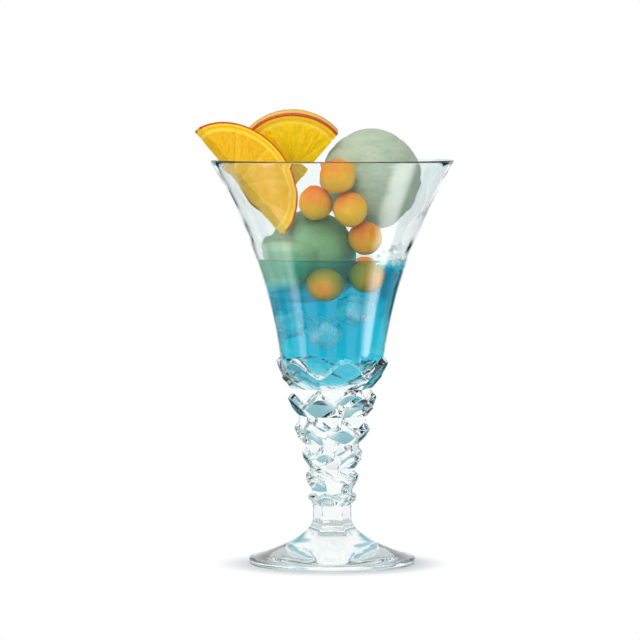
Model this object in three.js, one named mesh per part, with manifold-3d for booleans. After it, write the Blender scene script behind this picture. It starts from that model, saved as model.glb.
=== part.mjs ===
// Stemmed ice cream glass of pressed glass, filled with a blue drink, ice cubes, two scoops of
// ice cream, melon balls and two orange slices. Millimetres, +Z up, the front faces -Y.
// The origin is on the axis of the glass, on the flat underside of the foot.
// Azimuths are degrees about +Z from +X, so the front is at -90.

import * as THREE from 'three';
import Module from 'manifold-3d';
import { mergeVertices } from 'three/addons/utils/BufferGeometryUtils.js';

// Fits
const CLEARANCE = 0.3;

// Foot and neck
const FOOT_RADIUS = 38.6;
const FOOT_EDGE_HEIGHT = 3.5;
const FOOT_EDGE_ROUND = 1.2;
const FOOT_FLARE_INSET = 2.6;
const FOOT_FLARE_HEIGHT = 18.5;
const NECK_APOTHEM = 7.8;
const NECK_HEIGHT = 5.25;

// Tiers of petals, from the neck up. Each flares from its base to its petal tips over its rise, then
// steps back to the base of the next tier. The notches between petals lie lower than the tips by notch.
const STEM_TIERS = [
  { base: NECK_APOTHEM, tip: 11.6, rise: 4.5, step: 2.75, notch: 1.6 },
  { base: 8.5, tip: 12.5, rise: 7.25, step: 2.75, notch: 2.4 },
  { base: 9.5, tip: 14.3, rise: 7.5, step: 3.75, notch: 3 },
  { base: 11.4, tip: 18, rise: 7.25, step: 5.75, notch: 3.7 },
  { base: 14.25, tip: 21.2, rise: 8.75, step: 4, notch: 5 },
];
const CALYX = { base: 16.95, tip: 26.6, rise: 12.5, step: 5.25, notch: 7.3 };
const PETALS = 6;
const PETAL_TURN = 15;
const COLUMNS_PER_PETAL = 8;

// Bowl
const BOWL_HEIGHT = 87.75;
const BOWL_BASE_RADIUS = 24.5;
const BOWL_BASE_SLOPE = 0.1454;
const RIM_RADIUS = 56.7;
const RIM_WALL = 2.6;
const RIM_ROUND = 0.8;
const BASE_WALL = 3.8;
const FLOOR_DEPTH = 15;
const WALL_RINGS = 8;
const FLOOR_RINGS = 5;
const FLARE_RINGS = 7;

// Drink and ice, with heights measured from the foot of the bowl's wall
const DRINK_LEVEL = 42.5;
const ICE_SIZE = 12;
const ICE_BEVEL = 1.2;
const ICE_REACH = 7.4;
const ICE_CUBES = [
  { azimuth: -102, height: 9.5, turn: [20, 35, 15] },
  { azimuth: -60, height: 20, turn: [-25, 10, 40] },
  { azimuth: -172, height: 14, turn: [10, -30, 55] },
];

// Scoops, seated on the wall of the bowl
const LOWER_SCOOP = { radius: 20.5, azimuth: 156, height: 44.25 };
const TOP_SCOOP = { radius: 23.5, azimuth: 34, height: 78.75 };

// Melon balls: two on the wall, two on the lower scoop, two nestled among the others
const MELON_RADIUS = 8;
const SUNK_BALL = { azimuth: -99, height: 32 };
const FLOATING_BALL = { azimuth: -47, height: 36 };
const LEFT_BALL = { azimuth: -82, elevation: 57 };
const RIGHT_BALL = { azimuth: -27, elevation: 16 };

// Orange slices, with the slope and the lean of their cut edges in degrees. A straight cut lies below the
// centre of the round slice by cut, or above it where cut is negative. The front slice hangs over the rim
// and rests against the left ball. The back one stands behind it with its centre below the rim by drop,
// and touches the wall of the bowl on its left, as many degrees below its centre as its touch.
const SLICE_THICKNESS = 6;
const PEEL_THICKNESS = 2.4;
const FRONT_SLICE = { radius: 31.8, cut: -6, azimuth: -165, slope: 49.5, lean: 37.5 };
const BACK_SLICE = { radius: 27, cut: 6, drop: 1.5, slope: 51.5, lean: 22 };
const BACK_SLICE_TOUCH = 30;

// Heights along the axis
const NECK_BASE_Z = FOOT_EDGE_HEIGHT + FOOT_FLARE_HEIGHT;
const STEM_BASE_Z = NECK_BASE_Z + NECK_HEIGHT;
const CALYX_BASE_Z = STEM_TIERS.reduce((z, tier) => z + tier.rise + tier.step, STEM_BASE_Z);
const WALL_FOOT_Z = CALYX_BASE_Z + CALYX.rise + CALYX.step;
const RIM_Z = WALL_FOOT_Z + BOWL_HEIGHT;
const LIP_Z = RIM_Z - RIM_ROUND;
const DRINK_Z = WALL_FOOT_Z + DRINK_LEVEL;
const ROOM_TOP_Z = RIM_Z + 2 * FRONT_SLICE.radius;

const FRONT = -90;
const PITCH = 360 / PETALS;
const COLUMNS = PETALS * COLUMNS_PER_PETAL;
const CALYX_CENTRE = FRONT + PETAL_TURN;
const BALL_MESH = { around: 14, up: 10 };
const SCOOP_MESH = { around: 20, up: 14 };
const ARC_SEGMENTS = 24;
const SEAT_STEPS = 12;
const rad = THREE.MathUtils.degToRad;
const lerp = THREE.MathUtils.lerp;

const GLASS = { color: 0xe9f1f2, roughness: 0.04, metalness: 0 };
const DRINK = { color: 0x00a8e0, roughness: 0.05, metalness: 0 };
const ICE = { color: 0xd8eef6, roughness: 0.1, metalness: 0 };
const MINT = { color: 0xbcd9c8, roughness: 0.7, metalness: 0 };
const MELON = { color: 0xf0a030, roughness: 0.4, metalness: 0 };
const PEEL = { color: 0xe87818, roughness: 0.5, metalness: 0 };
const FLESH = { color: 0xf5b820, roughness: 0.35, metalness: 0 };

const wasm = await Module();
wasm.setup();

// Closed solids for cutting and joining, and back to a geometry
function solid(geometry) {
  const bare = geometry.clone();
  bare.deleteAttribute('normal');
  bare.deleteAttribute('uv');
  const merged = mergeVertices(bare);
  const vertProperties = new Float32Array(merged.attributes.position.array);
  const triVerts = new Uint32Array(merged.index.array);
  return new wasm.Manifold(new wasm.Mesh({ numProp: 3, vertProperties, triVerts }));
}

function skin(body) {
  const { vertProperties, triVerts } = body.getMesh();
  const geometry = new THREE.BufferGeometry();
  geometry.setAttribute('position', new THREE.Float32BufferAttribute(vertProperties, 3));
  geometry.setIndex(Array.from(triVerts));
  geometry.computeVertexNormals();
  return geometry;
}

const cutAway = (body, cutters) => cutters.reduce((rest, cutter) => rest.subtract(cutter), body);

// Rings: one point for each column, from a radius and a height that may vary with the angle
function ring(shape) {
  return Array.from({ length: COLUMNS }, (_, column) => {
    const angle = (360 / COLUMNS) * column;
    const { r, z } = shape(angle);
    return [r * Math.cos(rad(angle)), r * Math.sin(rad(angle)), z];
  });
}

const circle = (r, z) => ring(() => ({ r, z }));

// Stacked rings make a closed skin. The stack starts and ends on the axis, with the solid on its left.
function ringStack(rings) {
  const index = [];
  for (let level = 0; level + 1 < rings.length; level += 1) {
    for (let column = 0; column < COLUMNS; column += 1) {
      const a = level * COLUMNS + column;
      const b = level * COLUMNS + ((column + 1) % COLUMNS);
      const c = b + COLUMNS;
      const d = a + COLUMNS;
      if (level > 0) index.push(a, b, c);
      if (level + 2 < rings.length) index.push(a, c, d);
    }
  }
  const geometry = new THREE.BufferGeometry();
  geometry.setAttribute('position', new THREE.Float32BufferAttribute(rings.flat(2), 3));
  geometry.setIndex(index);
  const merged = mergeVertices(geometry);
  merged.computeVertexNormals();
  return merged;
}

// Flat sided outlines, with one flat for each petal
const fromCentre = (angle, centre) => {
  const turn = (angle - centre + PITCH / 2) % PITCH;
  return ((turn + PITCH) % PITCH) - PITCH / 2;
};
const flats = (apothem, centre) => (angle) => apothem / Math.cos(rad(fromCentre(angle, centre)));
const outlineRing = (outline, z) => ring((angle) => ({ r: outline(angle), z }));

// The arched petal tips of a tier and the top of their bevel, which lies on the core above
function petalRings(tier, baseZ, centre, core) {
  const rise = (angle) => {
    const arch = (1 + Math.cos((2 * Math.PI * fromCentre(angle, centre)) / PITCH)) / 2;
    return tier.rise - tier.notch * (1 - arch);
  };
  const tip = ring((angle) => {
    const apothem = lerp(tier.base, tier.tip, rise(angle) / tier.rise);
    return { r: flats(apothem, centre)(angle), z: baseZ + rise(angle) };
  });
  const bevelTop = ring((angle) => {
    const z = baseZ + rise(angle) + tier.step / 2;
    return { r: core(angle, z), z };
  });
  return [tip, bevelTop];
}

// Foot: flat underside, rounded edge and a hollow flare that turns from round into the flats of the neck
function footGeometry() {
  const neck = flats(NECK_APOTHEM, FRONT);
  const flareRadius = FOOT_RADIUS - FOOT_FLARE_INSET;
  const rings = [
    circle(0, 0),
    circle(FOOT_RADIUS - FOOT_EDGE_ROUND, 0),
    circle(FOOT_RADIUS, FOOT_EDGE_ROUND),
    circle(FOOT_RADIUS, FOOT_EDGE_HEIGHT - FOOT_EDGE_ROUND),
  ];
  for (let step = 0; step <= FLARE_RINGS; step += 1) {
    const share = step / FLARE_RINGS;
    const z = FOOT_EDGE_HEIGHT + FOOT_FLARE_HEIGHT * share;
    rings.push(ring((angle) => {
      const core = lerp(NECK_APOTHEM, neck(angle), share);
      return { r: core + (flareRadius - NECK_APOTHEM) * (1 - share) ** 2, z };
    }));
  }
  rings.push(outlineRing(neck, STEM_BASE_Z), circle(0, STEM_BASE_Z));
  return ringStack(rings);
}

// Stem: tiers of petals, each turned by half a petal from its neighbours
function stemGeometry() {
  const calyxBase = flats(CALYX.base, CALYX_CENTRE);
  const centres = STEM_TIERS.map((_, i) => CALYX_CENTRE + ((STEM_TIERS.length - i) % 2) * (PITCH / 2));
  const bases = STEM_TIERS.map((tier, i) => flats(tier.base, i === 0 ? FRONT : centres[i]));
  bases.push(calyxBase);
  const rings = [circle(0, STEM_BASE_Z)];
  let z = STEM_BASE_Z;
  STEM_TIERS.forEach((tier, i) => {
    rings.push(outlineRing(bases[i], z), ...petalRings(tier, z, centres[i], bases[i + 1]));
    z += tier.rise + tier.step;
  });
  rings.push(outlineRing(calyxBase, z), circle(0, z));
  return ringStack(rings);
}

// Bowl wall: a parabola that flares from the calyx to the rim, and thins towards the rim
const FLARE = (RIM_RADIUS - BOWL_BASE_RADIUS - BOWL_BASE_SLOPE * BOWL_HEIGHT) / BOWL_HEIGHT ** 2;
const WALL_THINNING = (BASE_WALL - RIM_WALL) / BOWL_HEIGHT;

function outerRadius(z) {
  const up = z - WALL_FOOT_Z;
  return BOWL_BASE_RADIUS + BOWL_BASE_SLOPE * up + FLARE * Math.max(0, up) ** 2;
}
const innerRadius = (z) => outerRadius(z) - BASE_WALL + WALL_THINNING * (z - WALL_FOOT_Z);
const innerSlope = (z) => BOWL_BASE_SLOPE + 2 * FLARE * (z - WALL_FOOT_Z) + WALL_THINNING;

// Rings up the inside of the bowl to a height, from the middle of the floor, at a gap from the glass
function cavityRings(gap, topZ) {
  const rings = [];
  for (let step = 0; step < FLOOR_RINGS; step += 1) {
    const turn = (step / FLOOR_RINGS) * (Math.PI / 2);
    const r = (innerRadius(WALL_FOOT_Z) - gap) * Math.sin(turn);
    rings.push(circle(r, WALL_FOOT_Z - (FLOOR_DEPTH - gap) * Math.cos(turn)));
  }
  for (let step = 0; step <= WALL_RINGS; step += 1) {
    const z = lerp(WALL_FOOT_Z, topZ, step / WALL_RINGS);
    rings.push(circle(innerRadius(z) - gap * Math.hypot(1, innerSlope(z)), z));
  }
  return rings;
}

function bowlGeometry() {
  const rings = [circle(0, CALYX_BASE_Z), outlineRing(flats(CALYX.base, CALYX_CENTRE), CALYX_BASE_Z)];
  rings.push(...petalRings(CALYX, CALYX_BASE_Z, CALYX_CENTRE, (angle, z) => outerRadius(z)));
  for (let step = 0; step <= WALL_RINGS; step += 1) {
    const z = lerp(WALL_FOOT_Z, LIP_Z, step / WALL_RINGS);
    rings.push(circle(outerRadius(z), z));
  }
  rings.push(circle(RIM_RADIUS - RIM_ROUND, RIM_Z), circle(RIM_RADIUS - RIM_WALL + RIM_ROUND, RIM_Z));
  rings.push(...cavityRings(0, LIP_Z).reverse());
  return ringStack(rings);
}

// The room for the serving: the inside of the bowl, carried straight up past the rim
function roomGeometry() {
  const rings = cavityRings(CLEARANCE, LIP_Z);
  const mouth = innerRadius(LIP_Z) - CLEARANCE;
  return ringStack([...rings, circle(mouth, ROOM_TOP_Z), circle(0, ROOM_TOP_Z)]);
}

// Seats: on the wall of the bowl, on a scoop, or against three other balls
function wallSeat({ azimuth, height }, radius) {
  const z = WALL_FOOT_Z + height;
  const reach = radius + CLEARANCE;
  let touchZ = z;
  for (let step = 0; step < SEAT_STEPS; step += 1) {
    touchZ = z - reach * Math.sin(Math.atan(innerSlope(touchZ)));
  }
  const out = innerRadius(touchZ) - reach * Math.cos(Math.atan(innerSlope(touchZ)));
  return new THREE.Vector3(out * Math.cos(rad(azimuth)), out * Math.sin(rad(azimuth)), z);
}

function scoopSeat(scoop, { azimuth, elevation }, radius) {
  const side = Math.cos(rad(elevation));
  const up = Math.sin(rad(elevation));
  const way = new THREE.Vector3(side * Math.cos(rad(azimuth)), side * Math.sin(rad(azimuth)), up);
  return way.multiplyScalar(scoop.radius + radius + CLEARANCE).add(scoop.centre);
}

function nestledSeat([first, second, third], radius) {
  const [a, b, c] = [first, second, third].map((ball) => ball.radius + radius + CLEARANCE);
  const along = second.centre.clone().sub(first.centre);
  const span = along.length();
  along.normalize();
  const toThird = third.centre.clone().sub(first.centre);
  const i = along.dot(toThird);
  const across = toThird.clone().addScaledVector(along, -i);
  const j = across.length();
  across.normalize();
  const x = (a * a - b * b + span * span) / (2 * span);
  const y = (a * a - c * c + i * i + j * j - 2 * i * x) / (2 * j);
  const out = new THREE.Vector3().crossVectors(along, across);
  const side = out.y < 0 ? 1 : -1;
  const z = side * Math.sqrt(Math.max(0, a * a - x * x - y * y));
  const seat = first.centre.clone().addScaledVector(along, x);
  return seat.addScaledVector(across, y).addScaledVector(out, z);
}

const sphere = (radius, { around, up }) => new THREE.SphereGeometry(radius, around, up);

function ball(centre, radius, mesh) {
  const { x, y, z } = centre;
  const body = solid(sphere(radius, mesh).translate(x, y, z));
  const envelope = solid(sphere(radius + CLEARANCE, mesh).translate(x, y, z));
  return { centre, radius, body, envelope };
}

// Ice cubes with bevelled edges, turned at random and worn where they meet the wall
function iceCube({ azimuth, height, turn }, grow) {
  const core = ICE_SIZE - 2 * ICE_BEVEL;
  const face = new THREE.Shape();
  face.moveTo(-core / 2, -core / 2);
  face.lineTo(core / 2, -core / 2);
  face.lineTo(core / 2, core / 2);
  face.lineTo(-core / 2, core / 2);
  const bevel = ICE_BEVEL + grow;
  const bevels = { bevelThickness: bevel, bevelSize: bevel, bevelSegments: 1 };
  const cube = new THREE.ExtrudeGeometry(face, { depth: core, bevelEnabled: true, ...bevels });
  cube.translate(0, 0, -core / 2);
  cube.applyMatrix4(new THREE.Matrix4().makeRotationFromEuler(new THREE.Euler(...turn.map(rad))));
  const z = WALL_FOOT_Z + height;
  const out = innerRadius(z) - ICE_REACH;
  return solid(cube.translate(out * Math.cos(rad(azimuth)), out * Math.sin(rad(azimuth)), z));
}

// Orange slices: a round slice less what lies below a straight cut, in a frame whose X runs along the cut,
// Y points into the slice from the cut and Z from its back face to its front face
const discEnds = (radius, cut) => [-Math.asin(cut / radius), Math.PI + Math.asin(cut / radius)];

function fleshShape(radius, cut) {
  const shape = new THREE.Shape();
  shape.absarc(0, 0, radius, ...discEnds(radius, cut), false);
  return shape;
}

function peelShape(radius, cut) {
  const shape = fleshShape(radius, cut);
  const inner = radius - PEEL_THICKNESS;
  const [start, end] = discEnds(inner, cut);
  shape.absarc(0, 0, inner, end, start, true);
  return shape;
}

function sliceBody(shape, frame, grow) {
  const depth = SLICE_THICKNESS + 2 * grow;
  const options = { depth, bevelEnabled: false, curveSegments: ARC_SEGMENTS };
  const geometry = new THREE.ExtrudeGeometry(shape, options);
  return solid(geometry.translate(0, 0, -grow).applyMatrix4(frame));
}

function slice({ radius, cut }, frame) {
  return {
    peel: sliceBody(peelShape(radius, cut), frame, 0),
    flesh: sliceBody(fleshShape(radius - PEEL_THICKNESS - CLEARANCE, cut), frame, 0),
    envelope: sliceBody(fleshShape(radius + CLEARANCE, cut + CLEARANCE), frame, CLEARANCE),
  };
}

// The front slice's cut edge runs down into the bowl over the inner edge of the rim, and it leans back
function frontSliceFrame({ radius, cut, azimuth, slope, lean }, neighbour) {
  const along = new THREE.Vector3(Math.cos(rad(slope)), 0, -Math.sin(rad(slope)));
  const up = new THREE.Vector3(Math.sin(rad(slope)), 0, Math.cos(rad(slope)));
  const into = up.multiplyScalar(Math.cos(rad(lean))).add(new THREE.Vector3(0, Math.sin(rad(lean)), 0));
  const face = new THREE.Vector3().crossVectors(along, into);
  const rim = RIM_RADIUS - RIM_WALL;
  const origin = new THREE.Vector3(rim * Math.cos(rad(azimuth)), rim * Math.sin(rad(azimuth)), RIM_Z);
  origin.addScaledVector(into, CLEARANCE + cut);
  const toBall = neighbour.centre.clone().sub(origin);
  const off = Math.max(0, toBall.dot(face) - SLICE_THICKNESS, -toBall.dot(face));
  const ballReach = Math.sqrt(Math.max(0, (neighbour.radius + CLEARANCE) ** 2 - off ** 2));
  const reach = radius + ballReach;
  const back = Math.sqrt(Math.max(0, reach ** 2 - toBall.dot(into) ** 2));
  origin.addScaledVector(along, toBall.dot(along) - back);
  return new THREE.Matrix4().makeBasis(along, into, face).setPosition(origin);
}

// The back slice's cut edge faces down to the right. It leans forward on the rear of the front slice.
function backSliceFrame({ radius, drop, slope, lean }, frontFrame) {
  const along = new THREE.Vector3(Math.cos(rad(slope)), 0, Math.sin(rad(slope)));
  const into = new THREE.Vector3(-Math.sin(rad(slope)), 0, Math.cos(rad(slope)));
  const face = new THREE.Vector3(0, -1, 0);
  const tilt = new THREE.Matrix4().makeRotationX(rad(lean));
  const frame = tilt.multiply(new THREE.Matrix4().makeBasis(along, into, face));
  const away = new THREE.Vector3(0, Math.cos(rad(lean)), Math.sin(rad(lean)));
  const frontAlong = new THREE.Vector3().setFromMatrixColumn(frontFrame, 0);
  const frontInto = new THREE.Vector3().setFromMatrixColumn(frontFrame, 1);
  const frontCentre = new THREE.Vector3().setFromMatrixPosition(frontFrame);
  const frontReach = FRONT_SLICE.radius * Math.hypot(frontAlong.dot(away), frontInto.dot(away));
  const z = RIM_Z - drop;
  const rear = frontCentre.dot(away) + frontReach + CLEARANCE + SLICE_THICKNESS;
  const y = (rear - z * away.z) / away.y;
  const fall = radius * Math.sin(rad(BACK_SLICE_TOUCH));
  const wall = innerRadius(z - fall) - CLEARANCE;
  const wallX = -Math.sqrt(Math.max(0, wall ** 2 - (y + fall * Math.tan(rad(lean))) ** 2));
  return frame.setPosition(wallX + radius * Math.cos(rad(BACK_SLICE_TOUCH)), y, z);
}

// Serving
const room = solid(roomGeometry());
const lowerScoop = ball(wallSeat(LOWER_SCOOP, LOWER_SCOOP.radius), LOWER_SCOOP.radius, SCOOP_MESH);
const topScoop = ball(wallSeat(TOP_SCOOP, TOP_SCOOP.radius), TOP_SCOOP.radius, SCOOP_MESH);
const melonBall = (seat) => ball(seat, MELON_RADIUS, BALL_MESH);
const sunkBall = melonBall(wallSeat(SUNK_BALL, MELON_RADIUS));
const floatingBall = melonBall(wallSeat(FLOATING_BALL, MELON_RADIUS));
const leftBall = melonBall(scoopSeat(lowerScoop, LEFT_BALL, MELON_RADIUS));
const rightBall = melonBall(scoopSeat(lowerScoop, RIGHT_BALL, MELON_RADIUS));
const middleBall = melonBall(nestledSeat([topScoop, rightBall, leftBall], MELON_RADIUS));
const crownBall = melonBall(nestledSeat([topScoop, leftBall, middleBall], MELON_RADIUS));
const balls = [crownBall, leftBall, middleBall, rightBall, floatingBall, sunkBall];
const ballEnvelopes = balls.map(({ envelope }) => envelope);

const frontFrame = frontSliceFrame(FRONT_SLICE, leftBall);
const frontSlice = slice(FRONT_SLICE, frontFrame);
const backSlice = slice(BACK_SLICE, backSliceFrame(BACK_SLICE, frontFrame));
const softNeighbours = [...ballEnvelopes, frontSlice.envelope, backSlice.envelope];

const iceNeighbours = [lowerScoop.envelope, ...ballEnvelopes];
const iceCubes = ICE_CUBES.map((cube) => cutAway(iceCube(cube, 0).intersect(room), iceNeighbours));
const icePockets = ICE_CUBES.map((cube) => iceCube(cube, CLEARANCE));

function drinkGeometry() {
  const full = ringStack([...cavityRings(CLEARANCE, DRINK_Z), circle(0, DRINK_Z)]);
  return skin(cutAway(solid(full), [...iceNeighbours, ...icePockets]));
}

// Assembly
const part = new THREE.Group();

function addPiece(name, geometry, finish) {
  const mesh = new THREE.Mesh(geometry, new THREE.MeshStandardMaterial(finish));
  mesh.name = name;
  part.add(mesh);
}

addPiece('foot', footGeometry(), GLASS);
addPiece('stem', stemGeometry(), GLASS);
addPiece('bowl', bowlGeometry(), GLASS);
addPiece('drink', drinkGeometry(), DRINK);
iceCubes.forEach((body, i) => addPiece(`ice_cube_${i + 1}`, skin(body), ICE));
addPiece('lower_scoop', skin(cutAway(lowerScoop.body, [topScoop.envelope, ...softNeighbours])), MINT);
addPiece('top_scoop', skin(cutAway(topScoop.body, softNeighbours)), MINT);
balls.forEach(({ body }, i) => addPiece(`melon_ball_${i + 1}`, skin(body), MELON));
addPiece('orange_front_peel', skin(frontSlice.peel), PEEL);
addPiece('orange_front_flesh', skin(frontSlice.flesh), FLESH);
addPiece('orange_back_peel', skin(backSlice.peel.intersect(room)), PEEL);
addPiece('orange_back_flesh', skin(backSlice.flesh.intersect(room)), FLESH);

export default part;
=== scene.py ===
"""Dresses the packed ice cream glass.

A stemmed glass of clear pressed glass holds a blue drink with ice, two scoops of mint ice cream, melon balls
and two slices of orange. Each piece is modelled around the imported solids, which stay where they are. Lengths
are in metres, +Z is up and the front faces -Y.
"""

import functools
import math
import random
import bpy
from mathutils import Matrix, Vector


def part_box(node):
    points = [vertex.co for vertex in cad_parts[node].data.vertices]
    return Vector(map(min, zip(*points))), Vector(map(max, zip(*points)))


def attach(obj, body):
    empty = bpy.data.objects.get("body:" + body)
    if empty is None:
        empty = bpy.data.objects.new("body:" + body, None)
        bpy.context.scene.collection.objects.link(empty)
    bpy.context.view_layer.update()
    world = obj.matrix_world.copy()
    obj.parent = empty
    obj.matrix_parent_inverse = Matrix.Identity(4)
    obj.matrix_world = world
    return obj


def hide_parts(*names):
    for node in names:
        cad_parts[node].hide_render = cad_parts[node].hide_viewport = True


bl_info = {
    "name": "Ice Cream Glass",
    "version": (1, 0, 0),
    "blender": (4, 5, 0),
    "location": "View3D > Sidebar > Ice Cream Glass",
    "description": "Models a served ice cream glass around its packed solids",
    "category": "Object",
}

from collections import namedtuple

import bmesh
import bpy
from bpy.props import FloatProperty, FloatVectorProperty, IntProperty, PointerProperty
from mathutils import Euler, Matrix, Vector, noise
from mathutils.bvhtree import BVHTree

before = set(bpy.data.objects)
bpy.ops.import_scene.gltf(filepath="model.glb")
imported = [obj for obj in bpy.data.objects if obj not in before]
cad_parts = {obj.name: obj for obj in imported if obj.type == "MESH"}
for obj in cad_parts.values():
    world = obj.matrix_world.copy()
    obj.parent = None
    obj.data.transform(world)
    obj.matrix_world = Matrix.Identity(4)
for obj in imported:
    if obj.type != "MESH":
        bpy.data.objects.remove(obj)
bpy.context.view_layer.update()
MM = 0.001

_, FOOT_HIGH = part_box("foot")
_, STEM_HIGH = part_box("stem")
_, BOWL_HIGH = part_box("bowl")
_, DRINK_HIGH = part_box("drink")

# The tiers of petals in millimetres, from the neck up. Each flares from its base to its petal tips over its
# rise, then steps back to the base of the next one. The notches between petals lie below the tips by notch.
Tier = namedtuple("Tier", "base tip rise step notch")
STEM_TIERS = (
    Tier(7.8, 11.6, 4.5, 2.75, 1.6),
    Tier(8.5, 12.5, 7.25, 2.75, 2.4),
    Tier(9.5, 14.3, 7.5, 3.75, 3.0),
    Tier(11.4, 18.0, 7.25, 5.75, 3.7),
    Tier(14.25, 21.2, 8.75, 4.0, 5.0),
)
CALYX = Tier(16.95, 26.6, 12.5, 5.25, 7.3)
PETALS = 6
PITCH = math.tau / PETALS
FRONT = -math.pi / 2


# Settings

def linear(*channels):
    """A display colour of 0 to 255 as scene values."""
    shares = (channel / 255 for channel in channels)
    return tuple(s / 12.92 if s <= 0.04045 else ((s + 0.055) / 1.055) ** 2.4 for s in shares)


def length(name, description, default):
    return FloatProperty(name=name, description=description, default=default, unit="LENGTH", precision=5)


def angle(name, description, degrees):
    return FloatProperty(name=name, description=description, default=math.radians(degrees), unit="ROTATION")


def colour(name, description, *channels):
    default = linear(*channels)
    return FloatVectorProperty(
        name=name, description=description, default=default, min=0, max=1, subtype="COLOR")


class GlassSizes(bpy.types.PropertyGroup):
    """Sizes of the pressed glass"""
    foot_radius: length("Foot radius", "Radius of the round foot", FOOT_HIGH.x)
    foot_edge: length("Foot edge", "Height of the upright edge of the foot", 3.5 * MM)
    foot_round: length("Foot rounding", "Rounding of the edge of the foot", 1.2 * MM)
    flare_inset: length("Flare inset", "Flat ledge between the edge of the foot and its flare", 2.6 * MM)
    flare_height: length("Flare height", "Height of the hollow flare of the foot", 18.5 * MM)
    neck_apothem: length("Neck", "Distance from the axis to the flats of the neck", 7.8 * MM)
    stem_base: length("Stem base", "Height at which the tiers of petals begin", FOOT_HIGH.z)
    calyx_base: length("Calyx base", "Height at which the petals of the bowl begin", STEM_HIGH.z)
    petal_turn: angle("Petal turn", "Turn of the petals of the bowl from the front", 15)
    edge_round: length("Edge rounding", "Rounding of the pressed edges of the petals", 0.55 * MM)
    corner_round: length("Corner rounding", "Rounding of the upright corners between flats", 0.8 * MM)
    rim_height: length("Rim height", "Height of the rim", BOWL_HIGH.z)
    rim_radius: length("Rim radius", "Radius of the rim", 56.7 * MM)
    rim_wall: length("Rim wall", "Thickness of the wall at the rim", 2.6 * MM)
    base_radius: length("Base radius", "Outer radius at the foot of the wall of the bowl", 24.5 * MM)
    base_slope: FloatProperty(
        name="Base slope", description="Outward slope at the foot of the wall", default=0.1454)
    base_wall: length("Base wall", "Thickness at the foot of the wall of the bowl", 3.8 * MM)
    floor_depth: length("Floor depth", "Depth of the rounded floor below the foot of the wall", 15 * MM)


class ServingSizes(bpy.types.PropertyGroup):
    """Sizes of what the glass holds"""
    drink_level: length("Drink level", "Height of the surface of the drink", DRINK_HIGH.z)
    meniscus: length("Meniscus", "Height that the drink climbs up the glass", 0.25 * MM)
    bubbles: IntProperty(
        name="Bubbles", description="Bubbles along the edge of the drink", default=240, min=0)
    ice_size: length("Ice size", "Side of an ice cube", 12 * MM)
    ice_round: length("Ice rounding", "Rounding of the melted edges of the ice", 2.4 * MM)
    lower_scoop: length("Lower scoop", "Radius of the scoop in the drink", 20.5 * MM)
    top_scoop: length("Top scoop", "Radius of the scoop above the rim", 23.5 * MM)
    front_slice: length("Front slice", "Radius of the front slice of orange", 31.8 * MM)
    back_slice: length("Back slice", "Radius of the back slice of orange", 27 * MM)
    slice_thickness: length("Slice thickness", "Thickness of the slices of orange", 6 * MM)
    peel_thickness: length("Peel thickness", "Thickness of the peel with its pith", 2.4 * MM)
    clearance: length("Clearance", "Gap between neighbouring pieces", 0.3 * MM)


class Colours(bpy.types.PropertyGroup):
    """Colours of the finishes"""
    glass: colour("Glass", "Tint of the clear glass", 250, 254, 253)
    drink: colour("Drink", "Surface of the blue drink", 246, 252, 254)
    drink_depth: colour("Drink depth", "What the depth of the drink lets through", 0, 240, 248)
    ice: colour("Ice", "Cloudy ice", 236, 248, 253)
    top_mint: colour("Top mint", "Scoop above the rim", 171, 183, 162)
    # Low mint is the mint painted darker and greener, a painted shade for the scoop that lies low in the bowl.
    low_mint: colour("Low mint", "Shaded scoop in the drink", 118, 160, 112)
    # Deep mint is painted shade in the hollows and pits of the ice cream.
    mint_deep: colour("Deep mint", "Hollows of the mint ice cream", 112, 156, 120)
    # The stain is the drink soaked into the ice cream, painted paler to make up for the light that the drink
    # takes on its way in.
    melted: colour("Melted", "Paler melted ice cream on the left", 158, 192, 164)
    stain: colour("Stain", "Ice cream soaked with the drink", 190, 240, 248)
    melon: colour("Melon", "Flesh of the melon", 230, 172, 8)
    # Deep melon is partly the melon's own redder side and partly painted shade.
    melon_deep: colour("Deep melon", "Redder side of the melon", 212, 84, 2)
    # The melon under the drink is painted redder to make up for the red light that the drink takes away.
    soaked_melon: colour("Sunk melon light boost", "Flesh of the melon in the drink", 255, 138, 8)
    # The peel is painted pale for the light from above that washes over it.
    peel: colour("Peel", "Outside of the orange peel", 222, 182, 48)
    # The zest is partly the real red zest on the cut faces and partly painted shade along the outer corners of
    # the peel.
    zest: colour("Zest", "Red edge of the cut peel", 186, 48, 6)
    pith: colour("Pith", "Yellow layer below the peel", 244, 196, 6)
    skin: colour("Skin", "Pale skin round the segments", 254, 220, 96)
    front_pulp: colour("Front pulp", "Flesh of the front slice of orange", 232, 180, 6)
    back_pulp: colour("Back pulp", "Flesh of the back slice of orange", 255, 216, 4)
    pulp_deep: colour("Deep pulp", "Deeper streaks in the flesh of the orange", 228, 154, 4)
    # The floor colour is painted grey near the glass, a painted shadow round the foot, and fades to white
    # further out.
    floor: colour("Floor", "Pale floor", 214, 216, 219)


# Shader nodes

OWN_FRAME = "own_frame"
SKIN_DEPTH = "skin_depth"
WHITE = (1, 1, 1)


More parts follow.
